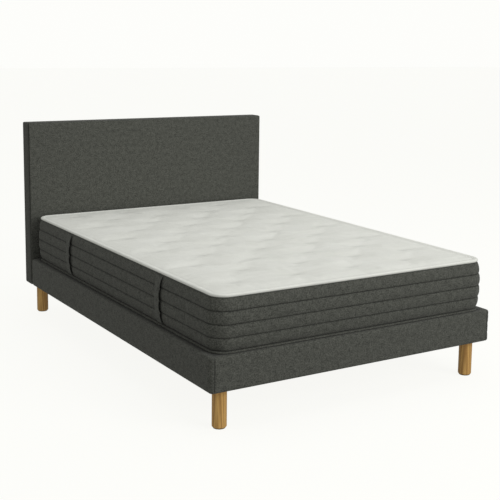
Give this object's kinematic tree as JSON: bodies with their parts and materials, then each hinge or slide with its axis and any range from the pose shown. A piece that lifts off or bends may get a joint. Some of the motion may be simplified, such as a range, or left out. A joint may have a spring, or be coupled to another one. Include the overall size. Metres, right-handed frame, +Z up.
{
  "type": "adjustable bed",
  "caption": "Upholstered double bed: padded base with a motorised slatted deck that lifts back and knees, soft banded mattress, slab headboard and round wooden legs.",
  "frame": {"origin": "on the floor, under the middle of the bed's outline, headboard included", "axes": "+Y towards the headboard, +X to the right of someone looking from the foot to the head, +Z up"},
  "size_m": [1.45, 2.118, 1.05],
  "materials": {
    "board": "matte",
    "timber": "matte",
    "padding": "matte",
    "upholstery": "matte",
    "lining": "matte",
    "leg_wood": "satin",
    "felt": "matte",
    "zinc_steel": "satin",
    "frame_steel": "satin",
    "nylon": "matte",
    "drive_plastic": "matte",
    "motor_steel": "satin",
    "circuit": "matte",
    "slat_wood": "satin",
    "slat_rubber": "matte",
    "mattress_knit": "matte",
    "mattress_border": "matte"
  },
  "bodies": {
    "root": {"side_boards": "board", "foot_board": "board", "head_end_board": "board", "headboard_front_panel": "board", "corner_blocks": "timber", "headboard_stiles": "timber", "headboard_rails": "timber", "base_padding": "padding", "headboard_padding": "padding", "base_cover": "upholstery", "headboard_cover": "upholstery", "headboard_back_panel": "lining", "leg_front_left": "leg_wood", "leg_front_right": "leg_wood", "leg_rear_left": "leg_wood", "leg_rear_right": "leg_wood", "leg_glides": "felt", "leg_bolts": "zinc_steel", "frame_bolts": "zinc_steel", "frame_rails": "frame_steel", "frame_cross_tubes": "frame_steel", "bearing_brackets": "frame_steel", "seat_rails": "frame_steel", "bearing_bushes": "nylon", "drive_housing": "drive_plastic", "drive_cover": "drive_plastic", "power_inlet": "drive_plastic", "drive_motors": "motor_steel", "control_board": "circuit", "seat_slats": "slat_wood", "seat_slat_holders": "slat_rubber", "mattress_seat": "mattress_knit", "mattress_fold_back": "mattress_knit", "mattress_fold_thigh": "mattress_knit"},
    "back": {"back_tube": "frame_steel", "back_lever": "frame_steel", "back_rails": "frame_steel", "back_end_bar": "frame_steel", "back_slats": "slat_wood", "back_slat_holders": "slat_rubber", "mattress_back": "mattress_knit", "mattress_handles_back": "mattress_border"},
    "thigh": {"thigh_tube": "frame_steel", "thigh_lever": "frame_steel", "thigh_rails": "frame_steel", "thigh_slats": "slat_wood", "thigh_slat_holders": "slat_rubber", "knee_pins": "zinc_steel", "mattress_thigh": "mattress_knit"},
    "calf": {"calf_rails": "frame_steel", "calf_end_bar": "frame_steel", "calf_slats": "slat_wood", "calf_slat_holders": "slat_rubber", "mattress_calf": "mattress_knit", "mattress_handles_foot": "mattress_border"},
    "links": {"leg_links": "zinc_steel"},
    "back_slider": {"slider_back": "nylon"},
    "leg_slider": {"slider_leg": "nylon"},
    "back_spindle": {"spindle_back": "zinc_steel"},
    "leg_spindle": {"spindle_leg": "zinc_steel"}
  },
  "joints": [
    {"name": "back_lift", "type": "hinge", "parent": "root", "child": "back", "pos_m": [0, 0.175, 0.27], "axis": [1, 0, 0], "range_deg": [0, 60], "deforming": ["mattress_fold_back"]},
    {"name": "thigh_lift", "type": "hinge", "parent": "root", "child": "thigh", "pos_m": [0, -0.065, 0.27], "axis": [-1, 0, 0], "range_deg": [0, 35], "deforming": ["mattress_fold_thigh"]},
    {"name": "calf_level", "type": "hinge", "parent": "thigh", "child": "calf", "pos_m": [0, -0.405, 0.27], "axis": [1, 0, 0], "range_deg": [0, 35.2]},
    {"name": "leg_link_swing", "type": "hinge", "parent": "root", "child": "links", "pos_m": [0, -0.265, 0.22], "axis": [-1, 0, 0], "range_deg": [0, 35.2]},
    {"name": "back_slider_travel", "type": "slide", "parent": "root", "child": "back_slider", "axis": [0, 1, 0], "range_m": [0, 0.0802]},
    {"name": "leg_slider_travel", "type": "slide", "parent": "root", "child": "leg_slider", "axis": [0, -1, 0], "range_m": [0, 0.0483]},
    {"name": "back_spindle_turn", "type": "hinge", "parent": "root", "child": "back_spindle", "pos_m": [0, 0.2, 0.184], "axis": [0, 1, 0], "range_deg": [0, 4810]},
    {"name": "leg_spindle_turn", "type": "hinge", "parent": "root", "child": "leg_spindle", "pos_m": [0, -0.1, 0.184], "axis": [0, 1, 0], "range_deg": [0, 2895]}
  ],
  "couplings": [
    {"joint": "calf_level", "follows": "thigh_lift", "ratio": 1},
    {"joint": "leg_link_swing", "follows": "thigh_lift", "ratio": 1},
    {"joint": "back_slider_travel", "follows": "back_lift", "m_per_rad": 0.076394},
    {"joint": "leg_slider_travel", "follows": "thigh_lift", "m_per_rad": 0.078762},
    {"joint": "back_spindle_turn", "follows": "back_lift", "ratio": 80},
    {"joint": "leg_spindle_turn", "follows": "thigh_lift", "ratio": 82.479}
  ]
}
